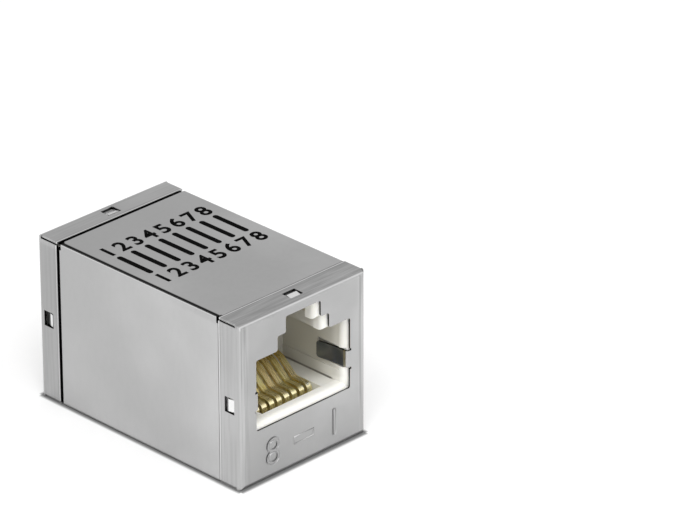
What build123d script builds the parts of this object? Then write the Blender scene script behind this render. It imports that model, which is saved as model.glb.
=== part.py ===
from build123d import *
import os

# Inline coupler for two eight-position modular plugs, in millimetres.
# X runs across, Y runs along the coupler and Z is up. The origin is the middle
# of the base. The front socket faces -Y, and the rear socket is the front one
# turned half a turn about Z. Depths are measured from the cap's outer face.

# Overall size
width = 17.2
length = 28.7
height = 18.0

# Sheet metal of the caps and the sleeve
sheet = 0.2
fold = 0.6              # outer radius of a cap's folds
sleeve_fold = 0.35      # outer radius of the sleeve's folds
slip = 0.05             # clearance between a cap and the shell end inside it
cap_depth = 2.9         # length of a cap over its flanges
flange_short = 0.12     # roof and floor flanges end inside the side flanges' surface
corner_slit = 0.12      # slit between two flanges of a cap
sleeve_gap = 0.24       # gap between a cap and the sleeve, with the sleeve centred
sleeve_shift = 0.19     # how far the sleeve sits towards the front
neck_play = 0.1         # sleeve end behind the cap's inner fold
seam = 0.2              # open seam between the roof's free edge and the left wall
seam_lip = 1.4          # height of the lip turned down along the seam
seam_fold = 0.25        # outer radius of that lip's fold

# Stepped opening in the face of a cap, from the roof down
roof_margin = 1.1
latch_width = 4.75
latch_high = 1.75
key_width = 7.0
key_high = 1.6
plug_width = 12.8
plug_high = 7.7
opening_corner = 0.22

# Windows in the flanges, and the tongues that catch in them
window_width = 1.68
window_length = 1.32
window_centre = 1.47
window_play = 0.18      # side clearance of a tongue
window_catch = 0.3      # from the tongue's free end to the edge that it catches
tongue_length = 0.95
tongue_drop = 0.03      # free end below the outer surface of the flange
tongue_pit = 0.5        # depth of the pit in the housing that a tongue flexes into

# Ground spring on each side of the opening
spring_rise = 2.3       # lower edge above the sill
spring_height = 1.8
spring_notch = 0.24
spring_root = 0.16      # how far the notches run into the face
spring_bend = 0.35      # outer radius of the root bend
spring_set_back = 0.05  # straight part behind the line of the throat wall
spring_straight = 1.5   # depth at which the spring starts to lean inwards
spring_lean = 0.36      # how far its free end stands inwards of the straight part
spring_reach = 3.95
spring_corner = 0.35

# Jack housing
body_clear = 0.1        # between the housing and the sleeve round it
body_round = 0.5
face_gap = 0.12         # between the housing and the face of the cap
throat_inset = 0.45     # throat inside the edge of the metal opening
lead_in = 0.8           # rounding of the mouth
sill_depth = 1.65
plug_stop = 9.0
catch_depth = 1.75      # back of the wall that the plug's latch snaps behind
rail_width = 6.3
rail_high = 1.3
pocket_width = 8.0
pocket_rise = 0.2       # pocket roof above the top of the latch slot
recess_deep = 1.8       # deeper middle of the plug stop
recess_drop = 2.5
groove_play = 0.15      # groove beyond the edges of the spring
groove_room = 0.13      # groove behind the straight part of the spring
relief = 0.1            # side walls set back above a low ledge
relief_rise = 1.7       # that ledge above the sill
board_gap = 0.3         # height of the standoffs
standoff = 1.4
standoff_inset = 1.3
peg = 1.6
peg_long = 1.2
peg_across = 6.0
peg_rises = (1.0, 5.0)  # left and right peg above the middle

# Contacts, and the carrier that holds them
contact_count = 8
pitch = 1.02
strip_wide = 0.64
strip_thick = 0.3
strip_bend = 0.34
strip_clear = 0.05
strip_drop = 1.45       # strips inside the carrier, below the throat's floor
knuckle_gap = 1.3       # front of the strips behind the sill
knuckle_bend = 0.5
knuckle_drop = 0.1      # flat run behind the knuckles, below the throat's floor
flat_long = 1.94
ramp_long = 2.0         # steep run that follows the flat one
ramp_rise = 1.64
contact_overrun = 0.2   # contact ends past the plug stop, inside the comb
contact_rise = 2.5      # contact ends above the throat's floor
tail_row = 1.27         # the two rows of tails, above and below the strips
tail_long = 0.45        # tail beyond the far side of the board
jog_start = 0.2
jog_long = 1.0
tail_room = 0.68        # pocket beyond the rows of tails
tail_side_room = 0.8
tail_pocket_long = 1.35
carrier_fit = 0.05
carrier_foot = 1.25     # carrier's base below the strips
carrier_rail = 0.9
carrier_rail_out = 0.5
trough_side = 0.15
trough_deep = 0.7
well_deep = 0.4
well_long = 3.7         # open well behind the knuckles
comb_clear = 0.06
comb_room = 0.5

# Circuit board between the two jacks
board_thick = 1.6
board_clear = 0.25
tail_hole = 0.78
peg_fit = 0.1

# Sizes that follow from those above
front = -length / 2
middle = height / 2
latch_top = height - roof_margin
key_top = latch_top - latch_high
shoulder = key_top - key_high
sill = shoulder - plug_high
spring_low = sill + spring_rise
spring_top = spring_low + spring_height
step_in = sheet + slip
sleeve_start = cap_depth + sleeve_gap
neck_start = fold + neck_play
window_end = window_centre + window_length / 2
tongue_end = window_end - window_catch
tongue_start = tongue_end - tongue_length
tongue_width = window_width - 2 * window_play
body_front = sheet + face_gap
body_inset = max(step_in, sheet + seam) + sheet + body_clear
body_half = width / 2 - body_inset
body_top = height - body_inset
board_face = (length - board_thick) / 2
body_back = board_face - board_gap
throat_half = plug_width / 2 - throat_inset
throat_low = sill + throat_inset
throat_high = shoulder - throat_inset
spring_line = throat_half + spring_set_back + sheet / 2
groove_half = spring_line + sheet / 2 + groove_room
rail_top = throat_high + rail_high
pocket_top = latch_top - throat_inset + pocket_rise
strip_level = throat_low - strip_drop
carrier_half = throat_half - carrier_fit
carrier_low = strip_level - carrier_foot
carrier_end = body_back - tail_pocket_long
knuckle_depth = sill_depth + knuckle_gap
contact_end = plug_stop + contact_overrun
contact_top = throat_low + contact_rise
contact_spread = (contact_count - 1) * pitch + strip_wide
contact_places = [((contact_count - 1) / 2 - k) * pitch for k in range(contact_count)]
pegs = list(zip((-peg_across, peg_across), (middle + rise for rise in peg_rises)))


def along(outline, near, far):
    """Extrude an outline in X and Z between two depths."""
    plane = Plane(origin=(0, front + near, 0), x_dir=(1, 0, 0), z_dir=(0, -1, 0))
    return extrude(plane * outline, amount=near - far)


def across(outline, half):
    """Extrude an outline in depth and Z to both sides of the middle."""
    plane = Plane(origin=(0, front, 0), x_dir=(0, 1, 0), z_dir=(1, 0, 0))
    return extrude(plane * outline, amount=half, both=True)


def rect(left, right, low, high):
    """Rectangle between limits in X and Z."""
    return Pos((left + right) / 2, (low + high) / 2) * Rectangle(right - left, high - low)


def box(left, right, near, far, low, high):
    """Block between limits in X, depth and Z."""
    return along(rect(left, right, low, high), near, far)


def turned(shape):
    """The same shape at the rear: half a turn about Z."""
    return Rot(0, 0, 180) * shape


def on_wall(shape, angle):
    """Turn a shape drawn on the roof round the coupler's axis, to another wall."""
    return Pos(0, 0, middle) * Rot(0, angle, 0) * shape


def wall_reach(angle):
    """Distance of a wall's outer surface from the axis, drawn as if on the roof."""
    return middle + (height if angle % 180 == 0 else width) / 2


def plug_outline(inset):
    """Stepped outline of the mouth, inset evenly from the metal opening."""
    plug, key, latch = (size / 2 - inset for size in (plug_width, key_width, latch_width))
    low, side, step, top = sill + inset, shoulder - inset, key_top - inset, latch_top - inset
    half = [(plug, low), (plug, side), (key, side), (key, step), (latch, step), (latch, top)]
    mirrored = [(-x, z) for x, z in reversed(half)]
    return make_face(Polyline(*half, *mirrored, close=True))


def strip_side(points, radii, shift):
    """Line of straight runs and bends at a distance to the left of another one."""
    points = [Vector(*point) for point in points]
    runs = [(end - start).normalized() for start, end in zip(points, points[1:])]
    normals = [Vector(-run.Y, run.X) for run in runs]
    side = [points[0] + normals[0] * shift]
    side_radii = []
    for point, before, after, radius in zip(points[1:-1], normals, normals[1:], radii):
        side.append(point + (before + after) * (shift / (1 + before.dot(after))))
        turns_left = before.cross(after).Z > 0
        outwards = -shift if turns_left else shift
        side_radii.append(radius + outwards if radius else 0)
    side.append(points[-1] + normals[-1] * shift)
    return FilletPolyline(*side, radius=side_radii)


def strip_outline(points, radii, thick):
    """Outline of a bent strip along a line; a bend of radius 0 is a sharp corner."""
    left, right = (strip_side(points, radii, shift) for shift in (thick / 2, -thick / 2))
    return make_face([left, right, Line(left @ 0, right @ 0), Line(left @ 1, right @ 1)])


# End cap: a cross-shaped blank with four flanges folded back.
def cap_pan():
    outer = along(rect(-width / 2, width / 2, 0, height), 0, cap_depth)
    outer = fillet(outer.faces().sort_by(Axis.Y)[0].edges(), fold)
    half = width / 2 - sheet
    inner = along(rect(-half, half, sheet, height - sheet), sheet, cap_depth + 1)
    inner = fillet(inner.faces().sort_by(Axis.Y)[0].edges(), fold - sheet)
    return outer - inner


def cap_slits():
    """Slits that part the side flanges from the roof and floor flanges, and trim those."""
    inner_side = width / 2 - sheet - slip
    end = width / 2 - flange_short
    slits = Part()
    for left, right in ((-width, -inner_side), (inner_side, width)):
        for low in (sheet, height - sheet - corner_slit):
            slits += box(left, right, fold, cap_depth + 1, low, low + corner_slit)
    for left, right in ((-width, -end), (end, width)):
        for low, high in ((-1, sheet + corner_slit), (height - sheet - corner_slit, height + 1)):
            slits += box(left, right, fold, cap_depth + 1, low, high)
    return slits


def window(angle):
    """Window through the flange of one wall."""
    reach = wall_reach(angle)
    near = window_centre - window_length / 2
    half = window_width / 2
    hole = box(-half, half, near, near + window_length, reach - 2 * sheet, reach + sheet)
    return on_wall(Pos(0, 0, -middle) * hole, angle)


def ground_spring():
    """Spring on the +X side, bent back from the face and leaning into the throat."""
    points = [
        (plug_width / 2 + spring_root, sheet / 2),
        (spring_line, sheet / 2),
        (spring_line, spring_straight),
        (spring_line - spring_lean, spring_reach),
    ]
    outline = strip_outline(points, [spring_bend - sheet / 2, spring_straight], sheet)
    spring = extrude(Pos(0, front, spring_low) * outline, amount=spring_height, dir=(0, 0, 1))
    blank = Pos(0, spring_low) * Rectangle(spring_reach, spring_height, align=Align.MIN)
    blank = fillet(blank.vertices().group_by(Axis.X)[-1], spring_corner)
    return spring & across(blank, width)


def spring_notches():
    """Relief notches above and below the root of each spring."""
    edge = plug_width / 2
    notches = Part()
    for left, right in ((-edge - spring_root, 1 - edge), (edge - 1, edge + spring_root)):
        for low in (spring_low - spring_notch, spring_top):
            notches += box(left, right, -1, sheet + 1, low, low + spring_notch)
    return notches


def end_cap():
    cap = cap_pan() - cap_slits()
    mouth = plug_outline(0)
    mouth = fillet(mouth.vertices(), opening_corner)
    cap -= along(mouth, -1, sheet + 1)
    for angle in (0, 90, 180, -90):
        cap -= window(angle)
    cap -= spring_notches()
    spring = ground_spring()
    return cap + spring + mirror(spring, Plane.YZ)


# Sleeve: one sheet folded round the jacks, with an open seam along the left
# edge of its roof. Its ends step inwards, so the caps slide over them and lie flush.
def sleeve_outline(inset, radius):
    """Filled section with three rounded folds and a square corner at the seam."""
    half = width / 2 - inset
    plate = rect(-half, half, inset, height - inset)
    corners = plate.vertices().group_by(Axis.X)
    folds = corners[-1] + [corners[0].sort_by(Axis.Y)[0]]
    return fillet(folds, radius)


def sleeve_ring(outer_inset, inner_inset):
    """Closed ring between two insets from the outer surface of the sleeve."""
    inside = sleeve_outline(inner_inset + sheet, sleeve_fold - sheet)
    return sleeve_outline(outer_inset, sleeve_fold) - inside


def sleeve_ends(outline, near, far):
    """A length of one section at the front of the sleeve, and the same at the rear."""
    piece = along(outline, near, far)
    return piece + mirror(piece, Plane.XZ)


def tongue_on_wall(shape, angle):
    """Both copies, front and rear, of a tongue's shape that is drawn on the roof."""
    placed = on_wall(Pos(0, 0, -middle) * shape, angle)
    return placed + mirror(placed, Plane.XZ)


def lance(sleeve, angle):
    """Lance a tongue in one wall at both ends: root towards the cap's face, free end raised."""
    reach = wall_reach(angle)
    top = reach - step_in
    tip = reach - tongue_drop
    ramp = Polyline(
        (tongue_start - sheet, top - sheet),
        (tongue_start - sheet, top),
        (tongue_start, top),
        (tongue_end, tip),
        (tongue_end, tip - sheet),
        (tongue_start, top - sheet),
        close=True,
    )
    half = window_width / 2
    hole = box(-half, half, tongue_start, window_end, reach - 3 * sheet, reach)
    sleeve -= tongue_on_wall(hole, angle)
    return sleeve + tongue_on_wall(across(make_face(ramp), tongue_width / 2), angle)


def sleeve_corner():
    """Relief that frees the stepped ends of the roof and the left wall from each other."""
    inner = step_in + sheet + seam
    corner = rect(-width, inner - width / 2, height - inner, height + 1)
    return sleeve_ends(corner, 0, sleeve_start + sheet)


def shell_sleeve():
    sleeve = along(sleeve_ring(0, 0), sleeve_start, length - sleeve_start)
    left = sheet + seam - width / 2
    lip = rect(left, left + seam_fold + sheet, height - seam_lip, height)
    lip = fillet(lip.vertices().group_by(Axis.Y)[-1].sort_by(Axis.X)[0], seam_fold)
    hollow = rect(left + sheet, left + seam_fold + 2 * sheet, 0, height - sheet)
    hollow = fillet(hollow.vertices().group_by(Axis.Y)[-1].sort_by(Axis.X)[0], seam_fold - sheet)
    slot = rect(sheet - width / 2, left + seam_fold, height - seam_lip, height + 1)
    ends = (sleeve_start + sheet, length - sleeve_start - sheet)
    sleeve -= along(slot, *ends)
    sleeve += along(lip - hollow, *ends)
    sleeve += sleeve_ends(sleeve_ring(step_in, step_in), neck_start, sleeve_start)
    sleeve += sleeve_ends(sleeve_ring(0, step_in), sleeve_start, sleeve_start + sheet)
    sleeve -= sleeve_corner()
    for angle in (0, 90, 180, -90):
        sleeve = lance(sleeve, angle)
    return Pos(0, -sleeve_shift, 0) * sleeve


# Jack housing: one plastic moulding with the stepped plug cavity.
def plug_cavity():
    """Room behind the mouth for the plug and its latch."""
    rail, pocket = rail_width / 2, pocket_width / 2
    recess_low = throat_high - recess_drop
    cavity = box(-throat_half, throat_half, body_front, plug_stop, throat_low, throat_high)
    cavity += box(-rail, rail, catch_depth, plug_stop, throat_high, rail_top)
    cavity += box(-pocket, pocket, catch_depth, plug_stop, rail_top, pocket_top)
    cavity += box(-rail, rail, plug_stop, plug_stop + recess_deep, recess_low, rail_top)
    return cavity


def spring_grooves():
    """Grooves for the ground springs, and the side walls' shallow relief round them."""
    low, high = spring_low - groove_play, spring_top + groove_play
    grooves = box(-groove_half, groove_half, 0, spring_reach + groove_play, low, high)
    half = throat_half + relief
    return grooves + box(-half, half, body_front + lead_in, plug_stop, sill + relief_rise, throat_high)


def tongue_pits():
    """Pits in the four walls that the sleeve's tongues flex into."""
    pits = Part()
    half = window_width / 2
    for angle in (0, 90, 180, -90):
        low = wall_reach(angle) - body_inset - tongue_pit
        pit = box(-half, half, tongue_start, window_end, low, low + width)
        pits += on_wall(Pos(0, -sleeve_shift, -middle) * pit, angle)
    return pits


def carrier_bay():
    """Room for the carrier, its rails and the contact tails, open at the back."""
    back = body_back + 1
    half = throat_half
    bay = box(-half, half, sill_depth, back, carrier_low - carrier_fit, throat_low)
    half = carrier_half + carrier_rail_out + carrier_fit
    rise = carrier_rail / 2 + carrier_fit
    bay += box(-half, half, sill_depth, back, strip_level - rise, strip_level + rise)
    half = contact_spread / 2 + tail_side_room
    rise = tail_row + tail_room
    bay += box(-half, half, carrier_end, back, strip_level - rise, strip_level + rise)
    return bay


def comb():
    """Slots in the plug stop that keep the ends of the contacts apart."""
    half = strip_wide / 2 + comb_clear
    back = contact_end + strip_thick / 2 + comb_room
    top = contact_top + comb_room
    slots = Part()
    for place in contact_places:
        slots += box(place - half, place + half, plug_stop - 1, back, throat_low, top)
    return slots


def jack_housing():
    section = rect(-body_half, body_half, body_inset, body_top)
    housing = along(fillet(section.vertices(), body_round), body_front, body_back)
    housing -= along(plug_outline(throat_inset), 0, catch_depth)
    mouth = housing.faces().sort_by(Axis.Y)[0].inner_wires()[0]
    housing = fillet(mouth.edges(), lead_in)
    housing -= plug_cavity() + spring_grooves()
    housing -= tongue_pits()
    housing -= carrier_bay()
    housing -= comb()
    across_feet = body_half - standoff_inset
    for x in (-across_feet, across_feet):
        for z in (body_inset + standoff_inset, body_top - standoff_inset):
            housing += along(Pos(x, z) * Rectangle(standoff, standoff), body_back - 1, board_face)
    for x, z in pegs:
        housing += along(Pos(x, z) * Circle(peg / 2), body_back - 1, board_face + peg_long)
    return housing


# Contact carrier: a plastic insert that slides into the housing from the back.
def contact_carrier():
    start = sill_depth + carrier_fit
    rail_half = carrier_half + carrier_rail_out
    section = rect(-carrier_half, carrier_half, carrier_low, throat_low - carrier_fit / 2)
    rise = carrier_rail / 2
    section += rect(-rail_half, rail_half, strip_level - rise, strip_level + rise)
    carrier = along(section, start, carrier_end)
    half = contact_spread / 2 + trough_side
    above = throat_low + 1
    carrier -= box(-half, half, start, plug_stop, throat_low - trough_deep, above)
    well_end = knuckle_depth + well_long
    carrier -= box(-half, half, start, well_end, strip_level - well_deep, above)
    half = strip_wide / 2 + strip_clear
    rise = strip_thick / 2 + strip_clear
    for place in contact_places:
        limits = (start, carrier_end, strip_level - rise, strip_level + rise)
        carrier -= box(place - half, place + half, *limits)
    return carrier


# Spring contacts: eight alike, with their tails in two staggered rows.
def contact(place, row):
    tail = strip_level + row * tail_row
    jog = carrier_end + jog_start
    flat = throat_low - knuckle_drop
    ramp_start = knuckle_depth + flat_long
    points = [
        (board_face + board_thick + tail_long, tail),
        (jog + jog_long, tail),
        (jog, strip_level),
        (knuckle_depth, strip_level),
        (knuckle_depth, flat),
        (ramp_start, flat),
        (ramp_start + ramp_long, flat + ramp_rise),
        (contact_end, contact_top),
    ]
    bends = [0, 0, 0, knuckle_bend, 2 * strip_bend, 0]
    outline = strip_outline(points, bends, strip_thick)
    return Pos(place, 0, 0) * across(outline, strip_wide / 2)


# Circuit board: stands across the coupler between the two jacks.
def circuit_board():
    inset = sheet + board_clear
    half = width / 2 - inset
    plate = rect(-half, half, inset + sleeve_fold - sheet, height - inset - seam_lip)
    for place in contact_places:
        for row in (-tail_row, tail_row):
            plate -= Pos(place, strip_level + row) * Circle(tail_hole / 2)
    for x, z in pegs:
        for side in (-x, x):
            plate -= Pos(side, z) * Circle(peg / 2 + peg_fit)
    return along(plate, board_face, board_face + board_thick)


pieces = {
    "shell_sleeve": shell_sleeve(),
    "circuit_board": circuit_board(),
}
jack = {
    "end_cap": end_cap(),
    "jack_housing": jack_housing(),
    "contact_carrier": contact_carrier(),
}
for number, place in enumerate(contact_places, 1):
    jack[f"contact_{number}"] = contact(place, 1 if number % 2 else -1)
for name, shape in jack.items():
    pieces[f"front_{name}"] = shape
    pieces[f"rear_{name}"] = turned(shape)

os.makedirs("parts", exist_ok=True)
for name, shape in pieces.items():
    export_step(shape, f"parts/{name}.step")
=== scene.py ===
import math

import bpy
from mathutils import Matrix, Vector


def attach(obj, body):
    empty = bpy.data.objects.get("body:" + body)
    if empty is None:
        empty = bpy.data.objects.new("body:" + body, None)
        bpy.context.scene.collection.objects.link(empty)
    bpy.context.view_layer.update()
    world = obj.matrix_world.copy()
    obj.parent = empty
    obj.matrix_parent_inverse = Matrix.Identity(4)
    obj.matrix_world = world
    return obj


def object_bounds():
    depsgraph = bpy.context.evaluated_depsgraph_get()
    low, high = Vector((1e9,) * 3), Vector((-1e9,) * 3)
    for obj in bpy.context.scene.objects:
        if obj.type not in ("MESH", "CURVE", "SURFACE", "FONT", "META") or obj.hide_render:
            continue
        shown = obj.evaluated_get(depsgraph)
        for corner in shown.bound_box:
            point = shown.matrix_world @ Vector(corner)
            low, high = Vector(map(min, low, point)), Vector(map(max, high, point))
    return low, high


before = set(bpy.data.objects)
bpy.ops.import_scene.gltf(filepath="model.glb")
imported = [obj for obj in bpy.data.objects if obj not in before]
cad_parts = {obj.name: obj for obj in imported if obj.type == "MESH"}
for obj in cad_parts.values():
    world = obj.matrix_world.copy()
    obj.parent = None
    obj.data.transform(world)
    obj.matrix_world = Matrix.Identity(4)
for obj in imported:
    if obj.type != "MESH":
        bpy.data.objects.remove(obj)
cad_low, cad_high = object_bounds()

# Circuit board: a plate of green glass-fibre laminate that stands between the
# two jacks. It is etched, resist-coated and soldered to the contact tails.
MM = 0.001
NOISE_SPAN = (0.3, 0.7)
RESIST_DARK = (0.02, 0.12, 0.05)
RESIST_LIGHT = (0.03, 0.17, 0.07)
RESIST_CLOUDS = 900
RESIST_ROUGHNESS = 0.35
WEAVE_WAVES = 3000
WEAVE_DEPTH = 0.006 * MM


def new_material(name):
    """A node material with its Principled shader."""
    material = bpy.data.materials.new(name)
    material.use_nodes = True
    return material, material.node_tree.nodes["Principled BSDF"]


def feed(material, socket, value):
    """Set a socket to a number, or link it to another node's output."""
    if isinstance(value, bpy.types.NodeSocket):
        material.node_tree.links.new(value, socket)
    else:
        socket.default_value = value


def fade(material, value, span, low, high):
    """Smooth change from low to high while a value crosses a span."""
    ramp = material.node_tree.nodes.new("ShaderNodeMapRange")
    ramp.interpolation_type = "SMOOTHSTEP"
    start, end = span
    for name, number in (("From Min", start), ("From Max", end), ("To Min", low), ("To Max", high)):
        ramp.inputs[name].default_value = number
    feed(material, ramp.inputs["Value"], value)
    return ramp.outputs["Result"]


def paint(material, share, under, over):
    """Lay one colour over another by a share between 0 and 1."""
    mix = material.node_tree.nodes.new("ShaderNodeMix")
    mix.data_type = "RGBA"
    feed(material, mix.inputs[0], share)
    for socket, colour in ((mix.inputs[6], under), (mix.inputs[7], over)):
        feed(material, socket, (*colour, 1) if isinstance(colour, tuple) else colour)
    return mix.outputs[2]


def noise(material, waves, stretch=(1, 1, 1), detail=3.0, low=0.0, high=1.0):
    """Noise in the piece's own coordinates, with so many waves to the metre."""
    place = material.node_tree.nodes.new("ShaderNodeTexCoord")
    mapping = material.node_tree.nodes.new("ShaderNodeMapping")
    mapping.inputs["Scale"].default_value = stretch
    texture = material.node_tree.nodes.new("ShaderNodeTexNoise")
    texture.inputs["Scale"].default_value = waves
    texture.inputs["Detail"].default_value = detail
    feed(material, mapping.inputs["Vector"], place.outputs["Object"])
    feed(material, texture.inputs["Vector"], mapping.outputs["Vector"])
    return fade(material, texture.outputs["Fac"], NOISE_SPAN, low, high)


def bump(material, shader, height, depth, under=None):
    """Bump of a depth in metres, laid over an earlier one where it is given."""
    bumped = material.node_tree.nodes.new("ShaderNodeBump")
    bumped.inputs["Distance"].default_value = depth
    feed(material, bumped.inputs["Height"], height)
    if under is not None:
        feed(material, bumped.inputs["Normal"], under)
    feed(material, shader.inputs["Normal"], bumped.outputs["Normal"])
    return bumped.outputs["Normal"]


def dress(name, material):
    """Give a CAD node its material."""
    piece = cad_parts[name]
    if not piece.material_slots:
        piece.data.materials.append(material)
    for place in piece.material_slots:
        place.material = material


def board_laminate():
    """Green solder resist over the weave of the glass cloth."""
    material, shader = new_material("board_laminate")
    clouds = noise(material, RESIST_CLOUDS)
    feed(material, shader.inputs["Base Color"], paint(material, clouds, RESIST_DARK, RESIST_LIGHT))
    shader.inputs["Roughness"].default_value = RESIST_ROUGHNESS
    bump(material, shader, noise(material, WEAVE_WAVES), WEAVE_DEPTH)
    return material


dress("circuit_board", board_laminate())


# Jack housings and contact carriers: warm white nylon-like plastic, moulded in
# polished tools, so their walls are smooth with a faint flow texture.
CASE_HALF_WIDE, CASE_HALF_LONG, CASE_HIGH = (reach / MM for reach in cad_high)

# Each tint runs from where it begins to where it is full, in millimetres:
# HEIGHTS above the floor, ASIDE of the middle, DEPTHS behind the cap's face.
# The grey and deep tints are painted shade: the throat greys with depth and darkens above the ledge.
GREY_DEPTHS = (1.2, 2.8)
DEEP_DEPTHS = (2.2, 5.0)
CEILING_HEIGHTS = (13.0, 13.08)
RAILS_ASIDE = (3.2, 3.3)
LEDGE_HEIGHTS = (7.5, 7.65)
LEDGE_DEPTHS = (1.5, 2.5)
LEDGE_SHARE = 0.6

# The painted shade on the side walls begins this many millimetres nearer to the mouth.
WALL_ASIDE = (4.8, 5.6)
WALL_FOOT_HEIGHTS = (6.4, 7.0)
WALL_FOOT_LEAD = 0.9
WALL_TOP_HEIGHTS = (9.0, 12.0)
WALL_TOP_LEAD = 0.5

# Painted shade: a dark line in the corner between the throat's floor and its side walls.
CORNER_ASIDE = (5.75, 5.87)
CORNER_HEIGHTS = (6.35, 6.46)
CORNER_DEPTHS = (1.9, 2.3)
CORNER_SHARE = 0.85
CORNER_SHADE = (0.16, 0.15, 0.13)

# Painted reflection of the gold on the plastic under the strips, and painted shade with a gold cast behind
# the ramps.
STRIPS_ASIDE = (3.95, 4.1)
STRIPS_DEPTHS = (3.0, 3.3)
STRIPS_SHARE = 0.9
RAMP_FOOT_HEIGHTS = (7.2, 7.5)
RAMP_TOP_HEIGHTS = (8.6, 9.2)
PAINTED_GOLD_REFLECTION = (0.95, 0.88, 0.62)
GOLD_SHADE = (0.66, 0.54, 0.24)

FLOW_CLOUDS = 400
SHEEN_CLOUDS = 2500
SHEEN_SPREAD = 0.05
FLOW_GRAIN = 6000
FLOW_GRAIN_DETAIL = 5
FLOW_GRAIN_DEPTH = 0.002 * MM
GLOW_WEIGHT = 0.08
GLOW_REACH = (0.8 * MM, 0.7 * MM, 0.5 * MM)


def calc(material, operation, *values):
    """One arithmetic step on numbers or node outputs."""
    step = material.node_tree.nodes.new("ShaderNodeMath")
    step.operation = operation
    for socket, value in zip(step.inputs, values):
        feed(material, socket, value)
    return step.outputs[0]


def fade_in(material, value, span, share=1.0):
    """Nothing before a span, and the share after it."""
    return fade(material, value, span, 0.0, share)


def fade_out(material, value, span, share=1.0):
    """The share before a span, and nothing after it."""
    return fade(material, value, span, share, 0.0)


def overlap(material, *shares):
    """The share of a place that lies in several zones at once."""
    whole = shares[0]
    for share in shares[1:]:
        whole = calc(material, "MULTIPLY", whole, share)
    return whole


def outside(material, share):
    """All that a zone leaves."""
    return calc(material, "SUBTRACT", 1.0, share)


def place_in_mm(material):
    """The point's own coordinates in millimetres, as three outputs."""
    place = material.node_tree.nodes.new("ShaderNodeTexCoord")
    split = material.node_tree.nodes.new("ShaderNodeSeparateXYZ")
    feed(material, split.inputs[0], place.outputs["Object"])
    return [calc(material, "DIVIDE", output, MM) for output in split.outputs]


def depth_from_face(material, y):
    """Depth in millimetres behind the nearer cap's outer face."""
    return calc(material, "SUBTRACT", CASE_HALF_LONG, calc(material, "ABSOLUTE", y))


def moulded_plastic(name, dark, light, inner_shade, deep_shade, roughness):
    """Plastic with painted shade inside the throat and painted gold reflections by the strips."""
    material, shader = new_material(name)
    x, y, z = place_in_mm(material)
    aside = calc(material, "ABSOLUTE", x)
    depth = depth_from_face(material, y)
    colour = paint(material, noise(material, FLOW_CLOUDS), dark, light)

    # Painted shade: greyer deeper in the throat, sooner on the side walls, darker above the ledge, not on
    # the ceiling.
    foot_lead = fade_in(material, z, WALL_FOOT_HEIGHTS, WALL_FOOT_LEAD)
    top_lead = fade_in(material, z, WALL_TOP_HEIGHTS, WALL_TOP_LEAD)
    lead = calc(material, "ADD", foot_lead, top_lead)
    wall_lead = overlap(material, fade_in(material, aside, WALL_ASIDE), lead)
    greyer = fade_in(material, calc(material, "ADD", depth, wall_lead), GREY_DEPTHS)
    above_ledge = overlap(material, fade_in(material, z, LEDGE_HEIGHTS, LEDGE_SHARE),
                          fade_in(material, depth, LEDGE_DEPTHS))
    deeper = fade_in(material, depth, DEEP_DEPTHS)
    ceiling = overlap(material, fade_in(material, z, CEILING_HEIGHTS), fade_in(material, aside, RAILS_ASIDE))
    below_ceiling = outside(material, ceiling)
    for share, tint in ((greyer, inner_shade), (above_ledge, deep_shade), (deeper, deep_shade)):
        colour = paint(material, overlap(material, share, below_ceiling), colour, tint)

    # Painted shade in the corner where the throat's floor meets its side walls.
    in_corner = overlap(material, fade_in(material, aside, CORNER_ASIDE),
                        fade_out(material, z, CORNER_HEIGHTS),
                        fade_in(material, depth, CORNER_DEPTHS, CORNER_SHARE))
    colour = paint(material, in_corner, colour, CORNER_SHADE)

    # Painted reflection of the gold under the strips, and painted shade behind the ramps.
    by_strips = overlap(material, fade_out(material, aside, STRIPS_ASIDE, STRIPS_SHARE),
                        fade_in(material, depth, STRIPS_DEPTHS))
    under_strips = overlap(material, by_strips, fade_out(material, z, RAMP_FOOT_HEIGHTS))
    behind_ramps = overlap(material, by_strips, fade_in(material, z, RAMP_FOOT_HEIGHTS),
                           fade_out(material, z, RAMP_TOP_HEIGHTS))
    colour = paint(material, under_strips, colour, PAINTED_GOLD_REFLECTION)
    colour = paint(material, behind_ramps, colour, GOLD_SHADE)
    feed(material, shader.inputs["Base Color"], colour)

    sheen = noise(material, SHEEN_CLOUDS, low=roughness - SHEEN_SPREAD, high=roughness + SHEEN_SPREAD)
    feed(material, shader.inputs["Roughness"], sheen)
    bump(material, shader, noise(material, FLOW_GRAIN, detail=FLOW_GRAIN_DETAIL), FLOW_GRAIN_DEPTH)
    shader.inputs["Subsurface Weight"].default_value = GLOW_WEIGHT
    shader.inputs["Subsurface Radius"].default_value = GLOW_REACH
    return material


housing_plastic = moulded_plastic(
    "housing_plastic", dark=(0.93, 0.92, 0.87), light=(0.96, 0.95, 0.9),
    inner_shade=(0.72, 0.71, 0.66), deep_shade=(0.48, 0.47, 0.42), roughness=0.42)
carrier_plastic = moulded_plastic(
    "carrier_plastic", dark=(0.86, 0.85, 0.8), light=(0.9, 0.89, 0.84),
    inner_shade=(0.84, 0.83, 0.78), deep_shade=(0.56, 0.55, 0.5), roughness=0.5)
for end in ("front", "rear"):
    dress(f"{end}_jack_housing", housing_plastic)
    dress(f"{end}_contact_carrier", carrier_plastic)


# Contacts: phosphor-bronze spring strip, gold plated, each bent over a knuckle
# behind the sill. The plating shows fine drawing lines along the strip.
CONTACTS = 8
GOLD = (0.94, 0.8, 0.29)
LIGHT_GOLD = (0.99, 0.93, 0.5)
GOLD_CLOUDS = 500
COPPER_BLUSH = (0.96, 0.69, 0.45)
BLUSH_CLOUDS = 900
BLUSH_STRETCH = (1, 0.3, 0.3)
BLUSH_SHARE = 0.5
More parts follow.
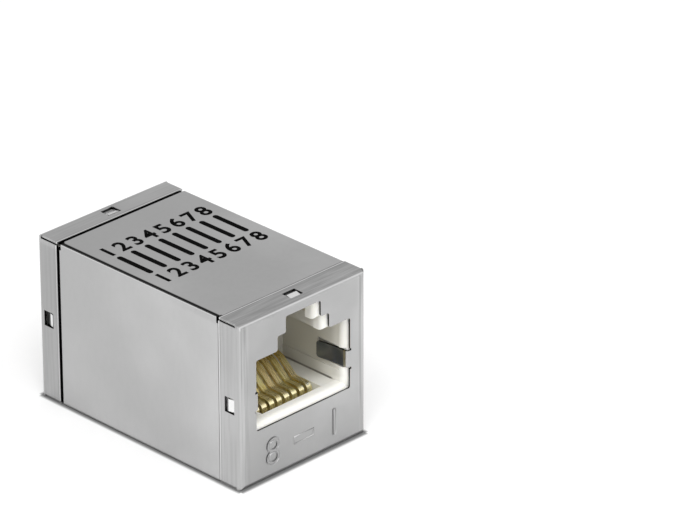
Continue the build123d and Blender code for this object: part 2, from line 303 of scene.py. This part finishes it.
# Painted highlight: the knuckles are painted pale.
KNUCKLE_HEIGHTS = (6.1, 6.5)
KNUCKLE_SHARE = 0.6
PAINTED_HIGHLIGHT_GOLD = (1.0, 0.95, 0.66)
# Painted shade: the ramps are painted browner towards their tops.
RAMP_HEIGHTS = (6.7, 8.6)
RAMP_SHARE = 0.8
RAMP_SHADE_BROWN = (0.46, 0.34, 0.12)
DRAWN_LINES = 9000
DRAWN_STRETCH = (1, 0.03, 0.06)
DRAWN_DEPTH = 0.005 * MM
GOLD_SMOOTH = 0.22
GOLD_ROUGH = 0.34
WHOLE_SPAN = (0, 1)


def contact_gold():
    """Gold plate with a painted highlight on the knuckles and painted shade up the ramps."""
    material, shader = new_material("contact_gold")
    z = place_in_mm(material)[2]
    colour = paint(material, noise(material, GOLD_CLOUDS), GOLD, LIGHT_GOLD)
    blush = noise(material, BLUSH_CLOUDS, BLUSH_STRETCH, high=BLUSH_SHARE)
    colour = paint(material, blush, colour, COPPER_BLUSH)
    # Painted highlight on the knuckles.
    colour = paint(material, fade_out(material, z, KNUCKLE_HEIGHTS, KNUCKLE_SHARE), colour, PAINTED_HIGHLIGHT_GOLD)
    # Painted shade up the ramps.
    colour = paint(material, fade_in(material, z, RAMP_HEIGHTS, RAMP_SHARE), colour, RAMP_SHADE_BROWN)
    feed(material, shader.inputs["Base Color"], colour)
    shader.inputs["Metallic"].default_value = 1.0
    lines = noise(material, DRAWN_LINES, DRAWN_STRETCH)
    feed(material, shader.inputs["Roughness"], fade(material, lines, WHOLE_SPAN, GOLD_SMOOTH, GOLD_ROUGH))
    bump(material, shader, lines, DRAWN_DEPTH)
    return material


gold = contact_gold()
for end in ("front", "rear"):
    for number in range(1, CONTACTS + 1):
        dress(f"{end}_contact_{number}", gold)


# Sleeve: one sheet of cold-rolled steel, satin nickel plated, folded round the
# jacks and left open along one roof edge. Rolling leaves it a soft, cloudy shine.
STEEL = (0.55, 0.55, 0.55)
DULL_STEEL = (0.45, 0.45, 0.45)
ROLLING_CLOUDS = 70
ROLLING_DETAIL = 2
ROLLING_DEPTH = 0.06 * MM
DULL_SPOTS = 420
DULL_SPOT_SPAN = (0.5, 1.0)
DULL_SPOT_SHARE = 0.12
DULL_SPOT_DEPTH = 0.01 * MM
GRAIN_LINES = 3400
GRAIN_DETAIL = 5
GRAIN_SPAN = (0.4, 1.0)
GRAIN_DARK = (0.25, 0.25, 0.25)
SATIN_ROUGHNESS = 0.38

# Painted light: the front of each side wall is painted a little brighter as a highlight, and the rear darker
# as shade.
# ALONG runs in millimetres from the middle to the rear, UNDER_ROOF from the top.
REAR_ALONG = (-6, 12)
REAR_SHARE = 0.5
REAR_SHADE_STEEL = (0.42, 0.42, 0.42)
FRONT_ALONG = (-12, 0)
FRONT_HEIGHTS = (3, 9)
FRONT_SHARE = 0.12
EDGE_UNDER_ROOF = (0.5, 1.0)
HIGHLIGHT_STEEL = (0.85, 0.85, 0.85)

# The sleeve steps in at NECK from the middle, and the caps slide over its ends.
# LEFT is the distance from the left wall's outer face, beside the open seam.
FOLD = 0.6
NECK = (12.1, 12.3)
# Painted shade: the gaps beside the caps and the open seam are painted near black.
GAP_BELOW_SKIN = (0.06, 0.12)
SEAM_LEFT_FROM = (0.01, 0.02)
SEAM_LEFT_TO = (0.48, 0.56)
SEAM_UNDER_ROOF = (1.3, 1.4)
EDGE_AND_GAP_SHADE = (0.025, 0.025, 0.025)
# Painted highlight: a thin bright line along the left wall's top rim, below the seam.
RIM_LEFT = (0.2, 0.21)
RIM_UNDER_ROOF = (0.08, 0.14)
RIM_HIGHLIGHT = (0.56, 0.56, 0.56)

# The rear catch tongue of the left wall is painted near black on its part nearer the cap's face, as painted
# shade of its slit.
MIDDLE_ALONG = (-1, 1)
TONGUE_LEFT = (0.9, 1.0)
TONGUE_DEPTHS = (1.5, 1.65)
SLIT_SHADE = (0.07, 0.07, 0.07)


def depth_below_skin(material, place, with_ends):
    """Depth in millimetres below the case's outer surface, measured round its folds."""
    x, y, z = place
    from_middle = calc(material, "ABSOLUTE", calc(material, "SUBTRACT", z, CASE_HIGH / 2))
    reaches = [(calc(material, "ABSOLUTE", x), CASE_HALF_WIDE), (from_middle, CASE_HIGH / 2)]
    if with_ends:
        reaches.append((calc(material, "ABSOLUTE", y), CASE_HALF_LONG))
    total = 0.0
    for value, reach in reaches:
        past = calc(material, "MAXIMUM", calc(material, "SUBTRACT", value, reach - FOLD), 0.0)
        total = calc(material, "ADD", total, calc(material, "MULTIPLY", past, past))
    return calc(material, "SUBTRACT", FOLD, calc(material, "SQRT", total))


def plated_steel(name, stretch, grain_depth, grain_share, rough_spread):
    """Satin nickel plate: cloudy, with a fine grain that is stretched one way."""
    material, shader = new_material(name)
    shader.inputs["Metallic"].default_value = 1.0
    clouds = noise(material, ROLLING_CLOUDS, detail=ROLLING_DETAIL)
    spots = noise(material, DULL_SPOTS)
    lines = noise(material, GRAIN_LINES, stretch, GRAIN_DETAIL)
    colour = paint(material, clouds, DULL_STEEL, STEEL)
    colour = paint(material, fade_in(material, spots, DULL_SPOT_SPAN, DULL_SPOT_SHARE), colour, DULL_STEEL)
    colour = paint(material, fade_in(material, lines, GRAIN_SPAN, grain_share), colour, GRAIN_DARK)
    rough = fade(material, lines, WHOLE_SPAN, SATIN_ROUGHNESS - rough_spread, SATIN_ROUGHNESS + rough_spread)
    feed(material, shader.inputs["Roughness"], rough)
    under = bump(material, shader, spots, DULL_SPOT_DEPTH)
    under = bump(material, shader, clouds, ROLLING_DEPTH, under)
    bump(material, shader, lines, grain_depth, under)
    return material, shader, colour


def sleeve_plate():
    """The sleeve's plate, with painted shade in its gaps and seam and painted highlights on its neck, rim
    and front walls.
    """
    material, shader, colour = plated_steel(
        "sleeve_plate", stretch=(0.5, 0.5, 0.25), grain_depth=0.0003 * MM,
        grain_share=0.02, rough_spread=0.012)
    x, y, z = place_in_mm(material)
    left = calc(material, "ADD", x, CASE_HALF_WIDE)
    under_roof = calc(material, "SUBTRACT", CASE_HIGH, z)

    # Painted shade towards the rear of the sleeve, and a painted highlight on the front of its side walls.
    colour = paint(material, fade_in(material, y, REAR_ALONG, REAR_SHARE), colour, REAR_SHADE_STEEL)
    bright = overlap(material, fade_in(material, z, FRONT_HEIGHTS),
                     fade_in(material, under_roof, EDGE_UNDER_ROOF),
                     fade_out(material, y, FRONT_ALONG, FRONT_SHARE))
    colour = paint(material, bright, colour, HIGHLIGHT_STEEL)
    # Painted highlight along the left wall's top rim.
    rim = overlap(material, fade_out(material, under_roof, RIM_UNDER_ROOF),
                  fade_out(material, left, RIM_LEFT))
    colour = paint(material, rim, colour, RIM_HIGHLIGHT)

    on_neck = fade_in(material, calc(material, "ABSOLUTE", y), NECK)
    off_neck = outside(material, on_neck)
    # Painted shade in the gaps beside the caps and in the open seam.
    below_skin = depth_below_skin(material, (x, y, z), with_ends=False)
    in_gap = overlap(material, fade_in(material, below_skin, GAP_BELOW_SKIN), off_neck)
    in_seam = overlap(material, fade_in(material, left, SEAM_LEFT_FROM),
                      fade_out(material, left, SEAM_LEFT_TO),
                      fade_out(material, under_roof, SEAM_UNDER_ROOF), off_neck)
    colour = paint(material, calc(material, "MAXIMUM", in_gap, in_seam), colour, EDGE_AND_GAP_SHADE)
    # Painted highlight: the neck under the caps, with its catch tongues, is painted bright.
    colour = paint(material, on_neck, colour, HIGHLIGHT_STEEL)

    # Painted shade on the rear catch tongue of the left wall.
    tongue_shade = overlap(material, fade_out(material, left, TONGUE_LEFT),
                          fade_out(material, depth_from_face(material, y), TONGUE_DEPTHS),
                          fade_in(material, y, MIDDLE_ALONG))
    colour = paint(material, tongue_shade, colour, SLIT_SHADE)
    feed(material, shader.inputs["Base Color"], colour)
    return material


dress("shell_sleeve", sleeve_plate())


# End caps: the same plated steel, punched and folded into a shallow pan. The
# folds leave tool lines along every flange, and the punched edges are painted dark as painted shade.
TOOL_LINES_AND_SHADE = (0.22, 0.22, 0.22)
BRIGHT_LINES_AND_HIGHLIGHTS = (0.66, 0.66, 0.66)
TOOLED_SHARE = 0.1

# Fine upright lines on the cap's face beside its side folds. FROM_SIDE is the
# distance from the nearer side wall's outer face.
FACE_DEPTHS = (0.05, 0.3)
FACE_FROM_SIDE = (0.7, 1.5)
FACE_LINES = 3200
FACE_STRETCH = (1, 0.03, 0.03)
FACE_DARK_SPAN = (0.55, 0.9)
FACE_BRIGHT_SPAN = (0.1, 0.45)
FACE_LINE_SHARE = 0.35
# Painted shade: the front cap's face darkens towards its foot.
FOOT_HEIGHTS = (1, 7)
FOOT_SHARE = 0.3
ABOVE_FOOT_SHARE = 0.07

# Scratches on the front roof flange, and painted shade on the rear cap below its roof.
SCRATCH_UNDER_ROOF = (0.2, 0.5)
SCRATCHES = 5200
SCRATCH_STRETCH = (0.05, 1, 0.05)
SCRATCH_DETAIL = 5
SCRATCH_SHARE = 0.5
REAR_CAP_SHARE = 0.28

# Lines across the flanges: a scored one, a painted highlight at the free edge, and a
# painted highlight on the fold, which turns to painted shade where it meets the right wall.
SCORED_FROM = (2.6, 2.64)
SCORED_TO = (2.66, 2.7)
SCORED_SHARE = 0.6
EDGE_HIGHLIGHT_FROM = (2.7, 2.76)
EDGE_HIGHLIGHT_TO = (2.84, 2.88)
FOLD_FROM = (0.07, 0.12)
FOLD_TO = (0.17, 0.24)
FOLD_SHARE = 0.9
ROOF_FOLD_UNDER_ROOF = (0.4, 0.7)
SIDE_FOLD_SHARE = 0.4
RIGHT_X = (CASE_HALF_WIDE - 0.35, CASE_HALF_WIDE - 0.2)
SHADED_FOLD_FROM = (0.02, 0.06)
SHADED_FOLD_TO = (0.45, 0.6)
SHADED_FOLD_SHARE = 0.8

# Cut edges are painted dark as painted shade, except at the root of a ground spring, which is
# bent from the face; its blade is painted dark as shade, with clouds of painted reflection.
CUT_BELOW_SKIN = (0.03, 0.08)
SPRING_HEIGHTS_FROM = (8.15, 8.17)
SPRING_HEIGHTS_TO = (9.93, 9.95)
SPRING_ASIDE_FROM = (5.1, 5.2)
SPRING_ASIDE_TO = (7.0, 7.1)
BLADE_DEPTHS = (0.45, 0.65)
BLADE_CLOUDS = 650
BLADE_REFLECTION_SHARE = 0.3
SPRING_SHADE = (0.13, 0.155, 0.23)
SPRING_REFLECTION = (0.36, 0.38, 0.5)


def band(material, value, rise, fall, share=1.0):
    """The share between a rise and a fall, and nothing outside them."""
    return overlap(material, fade_in(material, value, rise), fade_out(material, value, fall, share))


def cap_plate():
    """The caps' plate: tool lines, painted highlights and painted shade on folds, edges, springs and faces.
    """
    material, shader, colour = plated_steel(
        "cap_plate", stretch=(0.03, 1, 0.03), grain_depth=0.003 * MM,
        grain_share=0.15, rough_spread=0.04)
    colour = paint(material, TOOLED_SHARE, colour, TOOL_LINES_AND_SHADE)
    x, y, z = place_in_mm(material)
    aside = calc(material, "ABSOLUTE", x)
    from_side = calc(material, "SUBTRACT", CASE_HALF_WIDE, aside)
    under_roof = calc(material, "SUBTRACT", CASE_HIGH, z)
    depth = depth_from_face(material, y)
    at_front = fade_out(material, y, MIDDLE_ALONG)

    on_face = fade_out(material, depth, FACE_DEPTHS)
    lined = overlap(material, on_face, fade_out(material, from_side, FACE_FROM_SIDE))
    lines = noise(material, FACE_LINES, FACE_STRETCH)
    dark_lines = overlap(material, lined, fade_in(material, lines, FACE_DARK_SPAN, FACE_LINE_SHARE))
    bright_lines = overlap(material, lined, fade_out(material, lines, FACE_BRIGHT_SPAN, FACE_LINE_SHARE))
    colour = paint(material, dark_lines, colour, TOOL_LINES_AND_SHADE)
    colour = paint(material, bright_lines, colour, BRIGHT_LINES_AND_HIGHLIGHTS)
    scratches = noise(material, SCRATCHES, SCRATCH_STRETCH, SCRATCH_DETAIL, high=SCRATCH_SHARE)
    scratched = overlap(material, fade_out(material, under_roof, SCRATCH_UNDER_ROOF), at_front, scratches)
    colour = paint(material, scratched, colour, TOOL_LINES_AND_SHADE)

    # Painted highlights on the fold and the flanges' free edges; painted shade on the fold by the right
    # wall.
    by_right = fade_in(material, x, RIGHT_X)
    fold_highlight = overlap(material, band(material, depth, FOLD_FROM, FOLD_TO, FOLD_SHARE),
                      outside(material, by_right),
                      fade(material, under_roof, ROOF_FOLD_UNDER_ROOF, 1.0, SIDE_FOLD_SHARE))
    edge_highlight = band(material, depth, EDGE_HIGHLIGHT_FROM, EDGE_HIGHLIGHT_TO)
    colour = paint(material, calc(material, "MAXIMUM", edge_highlight, fold_highlight), colour, BRIGHT_LINES_AND_HIGHLIGHTS)
    fold_shade = overlap(material, by_right,
                        band(material, depth, SHADED_FOLD_FROM, SHADED_FOLD_TO, SHADED_FOLD_SHARE))
    colour = paint(material, fold_shade, colour, TOOL_LINES_AND_SHADE)
    scored = band(material, depth, SCORED_FROM, SCORED_TO, SCORED_SHARE)
    colour = paint(material, scored, colour, TOOL_LINES_AND_SHADE)
    # Painted shade on the rear cap below its roof, and on the front face towards its foot.
    rear_cap_shade = overlap(material, fade_in(material, y, MIDDLE_ALONG, REAR_CAP_SHARE),
                           fade_in(material, under_roof, EDGE_UNDER_ROOF))
    colour = paint(material, rear_cap_shade, colour, TOOL_LINES_AND_SHADE)
    face_foot_shade = overlap(material, fade(material, z, FOOT_HEIGHTS, FOOT_SHARE, ABOVE_FOOT_SHARE),
                        at_front, on_face)
    colour = paint(material, face_foot_shade, colour, TOOL_LINES_AND_SHADE)

    # Painted shade on cut edges and the spring's blade, with clouds of painted reflection on the blade.
    at_spring = overlap(material, band(material, z, SPRING_HEIGHTS_FROM, SPRING_HEIGHTS_TO),
                        band(material, aside, SPRING_ASIDE_FROM, SPRING_ASIDE_TO))
    below_skin = depth_below_skin(material, (x, y, z), with_ends=True)
    cut = overlap(material, fade_in(material, below_skin, CUT_BELOW_SKIN), outside(material, at_spring))
    colour = paint(material, cut, colour, EDGE_AND_GAP_SHADE)
    blade = overlap(material, fade_in(material, depth, BLADE_DEPTHS), at_spring)
    blade_reflections = noise(material, BLADE_CLOUDS, high=BLADE_REFLECTION_SHARE)
    colour = paint(material, blade, colour, paint(material, blade_reflections, SPRING_SHADE, SPRING_REFLECTION))
    feed(material, shader.inputs["Base Color"], colour)
    return material


cap_steel = cap_plate()
for end in ("front", "rear"):
    dress(f"{end}_end_cap", cap_steel)


# Stamping: the numbers of the first and last contact and a dash between them,
# raised as a fine outline on each cap's face under its opening.
STAMP_HIGH = 3.0 * MM
STAMP_BASE = 1.45 * MM
STAMP_LINE = 0.1 * MM
STAMP_STANDS = 0.07 * MM
STAMP_PLACES = (("8", -4.2 * MM), ("1", 4.2 * MM))
STAMP_CURVE_STEPS = 6
STAMP_ROUND_STEPS = 2
DASH_LONG = 2.6 * MM
DASH_THICK = 0.75 * MM
CAPITAL_SHARE = 0.7


def clear_selection():
    bpy.ops.object.select_all(action="DESELECT")


def take(piece):
    """Select one piece alone and make it the active one."""
    clear_selection()
    piece.select_set(True)
    bpy.context.view_layer.objects.active = piece


def settled(piece):
    """Move a piece's place and turn into its mesh."""
    take(piece)
    bpy.ops.object.transform_apply(location=True, rotation=True, scale=True)
    return piece


def copy_of(piece):
    """A copy of a piece, with its own mesh."""
    take(piece)
    bpy.ops.object.duplicate()
    return bpy.context.object


def joined(pieces, name):
    """Join pieces into one of that name, without any material."""
    take(pieces[0])
    for piece in pieces:
        piece.select_set(True)
    bpy.ops.object.join()
    whole = bpy.context.object
    whole.name = name
    whole.data.materials.clear()
    return whole


def number_text(text, high):
    """A plain number as a text object, centred on its own origin and so high."""
    clear_selection()
    bpy.ops.object.text_add(location=(0, 0, 0))
    piece = bpy.context.object
    piece.data.body = text
    piece.data.align_x = "CENTER"
    piece.data.size = high / CAPITAL_SHARE
    return piece


def raised_line(piece):
    """Turn the outline of a flat piece into a fine round bead."""
    take(piece)
    bpy.ops.object.convert(target="CURVE")
    outline = bpy.context.object
    outline.data.dimensions = "3D"
    outline.data.resolution_u = STAMP_CURVE_STEPS
    outline.data.bevel_depth = STAMP_LINE
    outline.data.bevel_resolution = STAMP_ROUND_STEPS
    bpy.ops.object.convert(target="MESH")
    return bpy.context.object


def dash():
    """The four edges of a dash, at half the numbers' height."""
    clear_selection()
    bpy.ops.mesh.primitive_plane_add(size=DASH_LONG, location=(0, STAMP_HIGH / 2, 0))
    bpy.ops.transform.resize(value=(1, DASH_THICK / DASH_LONG, 1))
    piece = settled(bpy.context.object)
    bpy.ops.object.mode_set(mode="EDIT")
    bpy.ops.mesh.select_all(action="SELECT")
    bpy.ops.mesh.delete(type="ONLY_FACE")
    bpy.ops.object.mode_set(mode="OBJECT")
    return piece


def front_stamping():
    """The numbers and the dash, stood up against the front cap's face."""
    pieces = [raised_line(dash())]
    for text, place in STAMP_PLACES:
        number = raised_line(number_text(text, STAMP_HIGH))
        number.location.x = place
        pieces.append(settled(number))
    whole = joined(pieces, "front_stamped_numbers")
    whole.rotation_euler.x = math.pi / 2
    whole.location = (0, cad_low[1] - STAMP_STANDS + STAMP_LINE, STAMP_BASE)
    settled(whole)
    bpy.ops.object.shade_smooth()
    whole.data.materials.append(cap_steel)
    return whole


front_numbers = front_stamping()
rear_numbers = copy_of(front_numbers)
rear_numbers.name = "rear_stamped_numbers"
rear_numbers.rotation_euler.z = math.pi
for numbers in (front_numbers, settled(rear_numbers)):
    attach(numbers, "root")


# Printed diagram: black ink on the roof, a plain drawing of eight straight
# wires between two rows of contact numbers, pad printed and baked.
INK_THICK = 0.02 * MM
INK_DARK = (0.002, 0.002, 0.002)
INK_LIGHT = (0.004, 0.004, 0.004)
INK_CLOUDS = 3000
INK_SMOOTH = 0.6
INK_ROUGH = 0.72
INK_SHINE = 0.01
INK_GRAIN_DEPTH = 0.001 * MM
PRINT_PITCH = 1.85 * MM
PRINT_MIDDLE = 2.4 * MM
NUMBER_HIGH = 1.9 * MM
NUMBER_BOLD = 0.07 * MM
NUMBER_GAP = 0.55 * MM
NUMBER_CURVE_STEPS = 5
WIRE_WIDE = 0.62 * MM
WIRE_LONG = 4.9 * MM
WIRE_ROUND = 0.49 * WIRE_WIDE
WIRE_ROUND_STEPS = 6


def print_ink():
    """Flat black ink, a little uneven."""
    material, shader = new_material("print_ink")
    clouds = noise(material, INK_CLOUDS)
    feed(material, shader.inputs["Base Color"], paint(material, clouds, INK_DARK, INK_LIGHT))
    feed(material, shader.inputs["Roughness"], fade(material, clouds, WHOLE_SPAN, INK_SMOOTH, INK_ROUGH))
    shader.inputs["Specular IOR Level"].default_value = INK_SHINE
    bump(material, shader, clouds, INK_GRAIN_DEPTH)
    return material


def printed_wire():
    """One wire of the diagram, in the middle: a bar with round ends."""
    clear_selection()
    bpy.ops.mesh.primitive_plane_add(size=WIRE_WIDE, location=(0, PRINT_MIDDLE, 0))
    bpy.ops.transform.resize(value=(1, WIRE_LONG / WIRE_WIDE, 1))
    wire = settled(bpy.context.object)
    bpy.ops.object.mode_set(mode="EDIT")
    bpy.ops.mesh.select_all(action="SELECT")
    bpy.ops.mesh.bevel(offset=WIRE_ROUND, segments=WIRE_ROUND_STEPS, affect="VERTICES")
    bpy.ops.object.mode_set(mode="OBJECT")
    return wire


def printed_number(number):
    """One number of the diagram as a flat mesh in bold strokes."""
    text = number_text(str(number), NUMBER_HIGH)
    text.data.offset = NUMBER_BOLD
    text.data.resolution_u = NUMBER_CURVE_STEPS
    bpy.ops.object.convert(target="MESH")
    return bpy.context.object


def moved(piece, x, y):
    piece.location = (x, y, 0)
    return settled(piece)


def printed_diagram():
    """All ink on the roof as one piece of thin closed solids."""
    wire = printed_wire()
    pieces = []
    reach = WIRE_LONG / 2 + NUMBER_GAP
    for number in range(1, CONTACTS + 1):
        place = (number - (CONTACTS + 1) / 2) * PRINT_PITCH
        front_row = printed_number(number)
        pieces.append(moved(copy_of(wire), place, 0))
        pieces.append(moved(copy_of(front_row), place, PRINT_MIDDLE + reach))
        pieces.append(moved(front_row, place, PRINT_MIDDLE - reach - NUMBER_HIGH))
    bpy.data.objects.remove(wire)
    diagram = joined(pieces, "printed_diagram")
    diagram.location.z = cad_high[2] - INK_THICK / 2
    settled(diagram)
    diagram.data.materials.append(print_ink())
    thick = diagram.modifiers.new("thickness", "SOLIDIFY")
    thick.thickness = INK_THICK
    thick.offset = 1
    bpy.ops.object.modifier_apply(modifier="thickness")
    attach(diagram, "root")


printed_diagram()


# Floor and studio: a plain white floor that keeps a soft shadow, a pale
# surround that greys towards the ceiling, and broad soft lamps.
FLOOR_SIZE = 6
FLOOR_WHITE = (0.86, 0.86, 0.86)
FLOOR_ROUGHNESS = 0.9
FLOOR_GLOW = 0.16
# Painted contact shadow: a narrow dark band round the case's foot, tapered at the corners.
CONTACT_SHADE = (0.26, 0.26, 0.26)
CONTACT_SHADE_WIDE = 0.5
CORNER_TAPER = 0.12
SURROUND_WHITE = (1, 1, 1, 1)
SURROUND_GREY = (0.94, 0.94, 0.94, 1)
SURROUND_WHITE_AT = 0.1
SURROUND_GREY_AT = 0.6
SURROUND_STRENGTH = 0.8
LAMP_AIM = Vector((0, 0, 0.01))


def floor_paint():
    """White floor with a painted contact shadow, a narrow dark line close round the case's foot."""
    material, shader = new_material("floor_paint")
    x, y = place_in_mm(material)[:2]
    across = (calc(material, "ABSOLUTE", x), CASE_HALF_WIDE)
    along = (calc(material, "ABSOLUTE", y), CASE_HALF_LONG)
    lines = []
    for (out, wall), (beside, corner) in ((across, along), (along, across)):
        near_wall = fade_out(material, out, (wall, wall + CONTACT_SHADE_WIDE))
        before_corner = fade_out(material, beside, (corner - CORNER_TAPER, corner + CORNER_TAPER))
        lines.append(overlap(material, near_wall, before_corner))
    away = outside(material, calc(material, "MAXIMUM", *lines))
    feed(material, shader.inputs["Base Color"], paint(material, away, CONTACT_SHADE, FLOOR_WHITE))
    shader.inputs["Roughness"].default_value = FLOOR_ROUGHNESS
    shader.inputs["Specular IOR Level"].default_value = 0.0
    shader.inputs["Emission Color"].default_value = (1, 1, 1, 1)
    path = material.node_tree.nodes.new("ShaderNodeLightPath")
    seen = calc(material, "MAXIMUM", path.outputs["Is Camera Ray"], path.outputs["Is Glossy Ray"])
    seen = calc(material, "MAXIMUM", seen, path.outputs["Is Transmission Ray"])
    feed(material, shader.inputs["Emission Strength"], overlap(material, seen, away, FLOOR_GLOW))
    return material


clear_selection()
bpy.ops.mesh.primitive_plane_add(size=FLOOR_SIZE, location=(0, 0, 0))
floor = bpy.context.object
floor.name = "studio_floor"
floor.data.materials.append(floor_paint())

world = bpy.data.worlds.new("studio")
world.use_nodes = True
bpy.context.scene.world = world
surround = world.node_tree
direction = surround.nodes.new("ShaderNodeTexCoord")
split = surround.nodes.new("ShaderNodeSeparateXYZ")
shade = surround.nodes.new("ShaderNodeValToRGB")
shade.color_ramp.elements[0].position = SURROUND_WHITE_AT
shade.color_ramp.elements[0].color = SURROUND_WHITE
shade.color_ramp.elements[1].position = SURROUND_GREY_AT
shade.color_ramp.elements[1].color = SURROUND_GREY
surround.links.new(direction.outputs["Generated"], split.inputs["Vector"])
surround.links.new(split.outputs["Z"], shade.inputs["Fac"])
surround.links.new(shade.outputs["Color"], surround.nodes["Background"].inputs["Color"])
surround.nodes["Background"].inputs["Strength"].default_value = SURROUND_STRENGTH


def softbox(name, place, size, watts):
    """A flat soft lamp at a place, turned to the coupler."""
    light = bpy.data.lights.new(name, "AREA")
    light.shape = "RECTANGLE"
    light.size, light.size_y = size
    light.energy = watts
    lamp = bpy.data.objects.new(name, light)
    lamp.location = place
    lamp.rotation_euler = (LAMP_AIM - Vector(place)).to_track_quat("-Z", "Y").to_euler()
    bpy.context.collection.objects.link(lamp)


softbox("key_softbox", place=(-0.35, -0.3, 0.55), size=(0.45, 0.45), watts=2.35)
softbox("fill_softbox", place=(0.5, -0.5, 0.35), size=(0.7, 0.6), watts=0.35)
softbox("mouth_softbox", place=(0.08, -0.5, 0.2), size=(0.3, 0.2), watts=0.45)


# Camera: a long lens, level, turned 45 degrees to the front and looking down
# on the coupler from 26 degrees, as in the photograph.
CAMERA_PLACE = Vector((-0.314564, -0.333006, 0.245751))
CAMERA_FORWARD = Vector((0.634426, 0.630312, -0.447449))
CAMERA_RIGHT = Vector((0.704545, -0.709659, -0.000726))
CAMERA_NEAR = 0.01
SENSOR_WIDTH = 36.0
FOCAL_PIXELS = 5221.4
PICTURE_WIDTH = 697
camera_data = bpy.data.cameras.new("camera")
camera_data.sensor_width = SENSOR_WIDTH
camera_data.lens = FOCAL_PIXELS / PICTURE_WIDTH * SENSOR_WIDTH
camera_data.clip_start = CAMERA_NEAR
camera = bpy.data.objects.new("camera", camera_data)
forward = CAMERA_FORWARD.normalized()
right = CAMERA_RIGHT.normalized()
up = right.cross(forward)
turn = Matrix((right, up, -forward)).transposed()
camera.matrix_world = Matrix.Translation(CAMERA_PLACE) @ turn.to_4x4()
bpy.context.collection.objects.link(camera)
bpy.context.scene.camera = camera
bpy.context.scene.view_settings.view_transform = "Standard"
